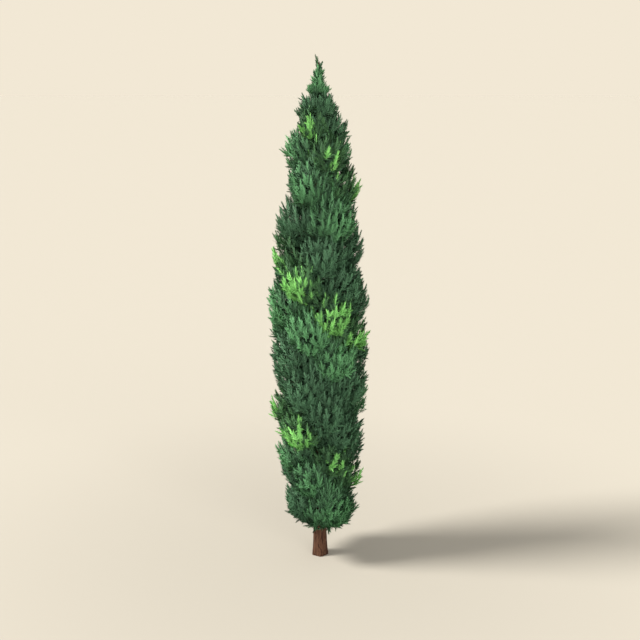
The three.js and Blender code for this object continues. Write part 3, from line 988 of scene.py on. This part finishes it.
# %% Coarse sprays on the branches and the boughs
INNER = {**EVERYWHERE, "Sprays": inner_sprays, "Count": 8, "Start Share": 0.10, "Stop Share": 0.85,
         "Lean At Foot": 1.1, "Lean At Tip": 0.5, "Lift": 0.5, "Shortest": 0.20, "Longest": 0.30}
HEART = {**INNER, "Count": 14, "Start Share": 0.35, "Longest": 0.34}


def fill_along(name, paths, size, inputs):
    facing = outwards(np.array([path[-1] for path in paths]))
    # a freshness of 0 deals these sprays the dark tints: painted shade inside the crown
    dress(name, [], paths, size, np.zeros(len(paths)), facing, "dark_foliage", inputs)


bough_size = [spray_size(node) for node in masses]
branch_size = np.repeat(bough_size, [len(limbs[node]["branches"]) for node in masses])
fill_along("inner_leaves", branch_paths, branch_size, INNER)
fill_along("heart_leaves", bough_paths, bough_size, HEART)

for shelf in (outer_sprays, inner_sprays):
    for spray in list(shelf.objects):
        bpy.data.objects.remove(spray)
    bpy.data.collections.remove(shelf)

# %% [markdown]
# ## What stands for what
#
# A tree has one body, so every piece rides on its root, and the solids that it takes the place of
# are hidden. The inner wood and the filling sprays are extra: they take no solid's place.

# %% Attach the pieces and hide the solids they replace
for wood in (trunk_bark, boughs, branches, twigs):
    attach(wood, "root")
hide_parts("trunk")
for piece, slot, nodes in leaf_pieces.values():
    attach(piece, "root")
    if nodes:
        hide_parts(*nodes)
print(len(leaf_pieces), "pieces of leaves stand for", sum(len(p[2]) for p in leaf_pieces.values()), "masses")

# %% [markdown]
# ## Backdrop and light from all round
#
# In a studio the pale walls light the tree from all sides, and here the world does. A plain world
# shows the colour that it shines, so a Light Path node splits it: what the camera sees is a quiet
# cream paper, while what falls on the tree is whiter.

# %% Backdrop and fill light
BACKDROP_COLOUR = (0.888, 0.807, 0.665)
FILL_COLOUR, FILL_POWER = (1.0, 0.985, 0.96), 0.70
world = bpy.data.worlds.new("studio")
bpy.context.scene.world = world
world.use_nodes = True
air = world.node_tree
fill = air.nodes["Background"]
fill.inputs["Color"].default_value = (*FILL_COLOUR, 1)
fill.inputs["Strength"].default_value = FILL_POWER
paper = add_node(air, "ShaderNodeBackground", {"Color": (*BACKDROP_COLOUR, 1), "Strength": 1.0})
ray = add_node(air, "ShaderNodeLightPath")
seen = add_node(air, "ShaderNodeMixShader", {
    0: ray.outputs["Is Camera Ray"], 1: fill.outputs["Background"], 2: paper.outputs["Background"]})
air.links.new(out_of(seen), air.nodes["World Output"].inputs["Surface"])

# %% [markdown]
# ## Two lamps
#
# The key lamp, high on the left, models the lumps of the crown and throws one soft shadow to the
# right. Alone it would leave the front in the dark, so a very wide lamp low in front opens the shade.
# Lamps close by would light the foot of so tall a tree unlike its top, so both are far lamps, and
# their softness is the angle that they fill in the sky.

# %% A lamp, and what it gives to the floor
SPOTS = 500  # points to add up


def light_on_level_ground(power, colour, height, softness):
    """Adds up points spread over the lamp's face by the golden angle, less those below the ground."""
    count = np.arange(SPOTS)
    from_middle = (count + 0.5) / SPOTS
    edge = math.tan(softness / 2)
    rise = np.sqrt(from_middle) * edge * np.sin(count * GOLDEN)
    above = (math.sin(height) + math.cos(height) * rise) / np.sqrt(1 + from_middle * edge ** 2)
    return np.array(colour) * power / math.pi * np.maximum(0, above).mean()


def lamp(name, power, colour, height, bearing, softness):
    """A far lamp; bearing turns it round the tree from straight left towards the front."""
    light = bpy.data.lights.new(name, "SUN")
    light.energy = power
    light.color = colour
    light.angle = softness
    made = bpy.data.objects.new(name, light)
    bpy.context.collection.objects.link(made)
    level = math.cos(height)
    shining = Vector((level * math.cos(bearing), level * math.sin(bearing), -math.sin(height)))
    made.rotation_euler = shining.to_track_quat("-Z", "Y").to_euler()
    return light_on_level_ground(power, colour, height, softness)


key_on_floor = lamp("key", power=6.4, colour=(1.0, 0.98, 0.95), height=math.radians(43),
                    bearing=math.radians(8), softness=math.radians(18))
front_on_floor = lamp("front", power=4.2, colour=(1.0, 0.99, 0.97), height=math.radians(9),
                      bearing=math.radians(108), softness=math.radians(60))
print("key and front lamp on the floor", key_on_floor.round(2), front_on_floor.round(2))

# %% [markdown]
# ## Floor
#
# The set is pale paper that runs from under the tree up behind it. A curved sheet would suit only one
# view, so here it is a level floor that reaches far away. Its colour is worked out from the lamps, so
# that it sends back almost as much light as the backdrop shows and no horizon is seen. Close to the
# tree it is a little darker, a painted shade round the tree's foot.

# %% Floor
FLOOR_HALF = 300.0
# the darker floor close to the tree is a painted shade round its foot
NEAR_TREE, FAR_FROM_TREE = 2.0, 10.0  # the floor grows lighter between these distances
SHADED_NEAR_SHARE, FAR_SHARE = 0.89, 0.99  # and sends back these shares of the backdrop's light
light_on_floor = np.array(FILL_COLOUR) * FILL_POWER + key_on_floor + front_on_floor
floor_colour = tuple((np.array(BACKDROP_COLOUR) / light_on_floor).tolist())
print("floor colour", [round(c, 3) for c in floor_colour])


def floor_material():
    made = plain_material("floor", floor_colour, roughness=1.0, specular=0.0)
    tree = made.node_tree
    place = add_node(tree, "ShaderNodeTexCoord")
    away = add_node(tree, "ShaderNodeVectorMath", {0: place.outputs["Object"]}, operation="LENGTH")
    # painted shade: the floor is darker close to the tree
    share = add_node(tree, "ShaderNodeMapRange", {
        "Value": away.outputs["Value"], "From Min": NEAR_TREE, "From Max": FAR_FROM_TREE,
        "To Min": SHADED_NEAR_SHARE, "To Max": FAR_SHARE}, interpolation_type="SMOOTHSTEP")
    colour = add_node(tree, "ShaderNodeVectorMath", {
        0: floor_colour, 3: out_of(share)}, operation="SCALE")
    tree.links.new(out_of(colour), tree.nodes["Principled BSDF"].inputs["Base Color"])
    return made


floor_mesh = bpy.data.meshes.new("floor")
floor_mesh.from_pydata(
    [(-FLOOR_HALF, -FLOOR_HALF, 0), (FLOOR_HALF, -FLOOR_HALF, 0),
     (FLOOR_HALF, FLOOR_HALF, 0), (-FLOOR_HALF, FLOOR_HALF, 0)], [], [(0, 1, 2, 3)])
floor_mesh.materials.append(floor_material())
floor = bpy.data.objects.new("floor", floor_mesh)
bpy.context.collection.objects.link(floor)

# %% [markdown]
# ## Camera
#
# From eye height the camera would have to tilt up at so tall a tree, and its trunk would seem to lean
# back. So the camera stands off by almost twice the tree's height, nearly as high as its top, and
# looks a little down, which also lays the shadow open on the floor.

# %% Camera
CAMERA_BACK, CAMERA_HEIGHT = 18.86, 9.82
CAMERA_PITCH = math.radians(14.4)  # downwards
camera = bpy.data.cameras.new("camera")
camera.lens = 56.25
camera.sensor_width = 36.0
camera.clip_end = 2000
camera_object = bpy.data.objects.new("camera", camera)
camera_object.location = (0.0, -CAMERA_BACK, CAMERA_HEIGHT)
camera_object.rotation_euler = (math.pi / 2 - CAMERA_PITCH, 0.0, 0.0)
bpy.context.collection.objects.link(camera_object)
bpy.context.scene.camera = camera_object
bpy.context.scene.view_settings.view_transform = "Standard"
